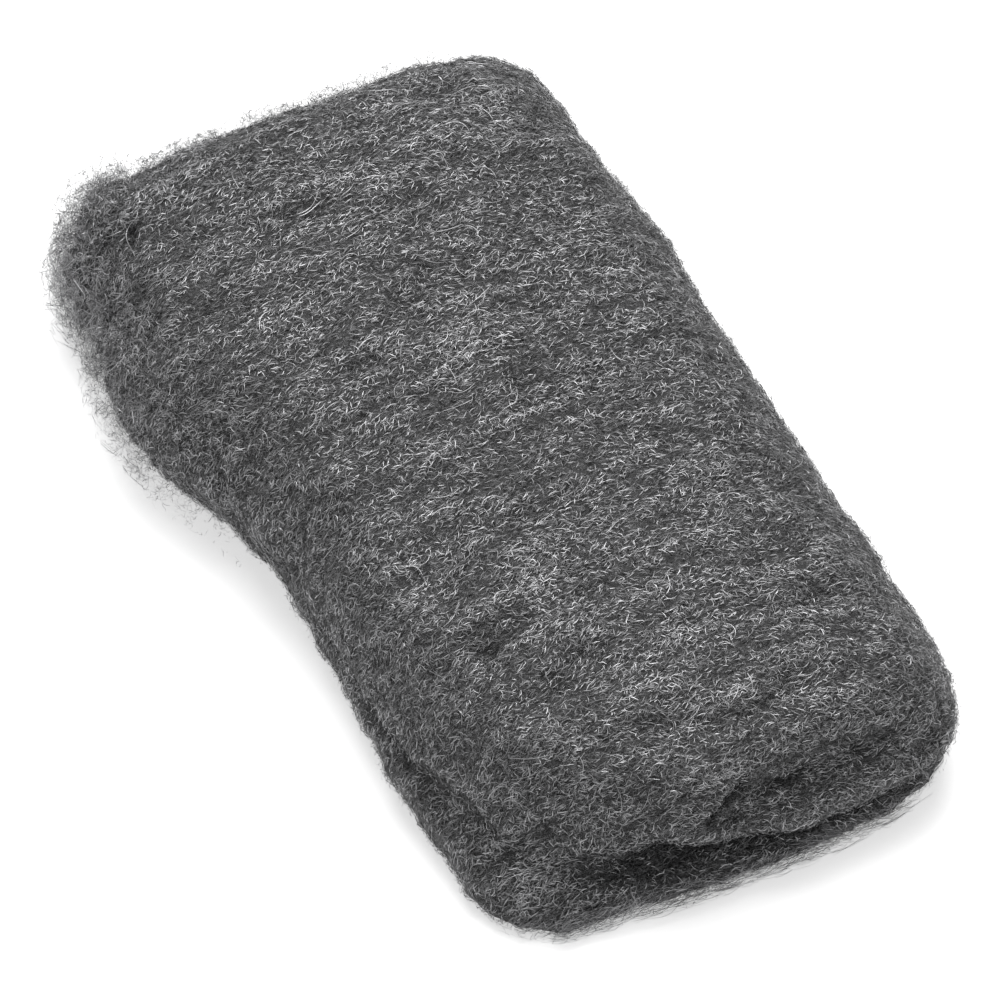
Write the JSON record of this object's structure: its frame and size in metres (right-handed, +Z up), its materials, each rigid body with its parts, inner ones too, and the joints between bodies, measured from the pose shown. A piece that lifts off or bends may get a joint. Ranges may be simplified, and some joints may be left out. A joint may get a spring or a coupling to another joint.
{
  "type": "steel wool pad",
  "caption": "Hand pad of rolled and flattened steel wool, with the roll's turns and creases showing at one end.",
  "frame": {"origin": "centre of the pad's box, on the plane it rests on", "axes": "+Z up, out of the broad face; Y along the length, with the end that shows the roll's turns facing -Y; -X is the side with the long crease and the loose shoulder"},
  "size_m": [0.0702, 0.1154, 0.0218],
  "materials": {
    "steel_wool": "matt tangle of fine bright fibres"
  },
  "bodies": {
    "root": {"wool_pad": "steel_wool"}
  },
  "joints": []
}
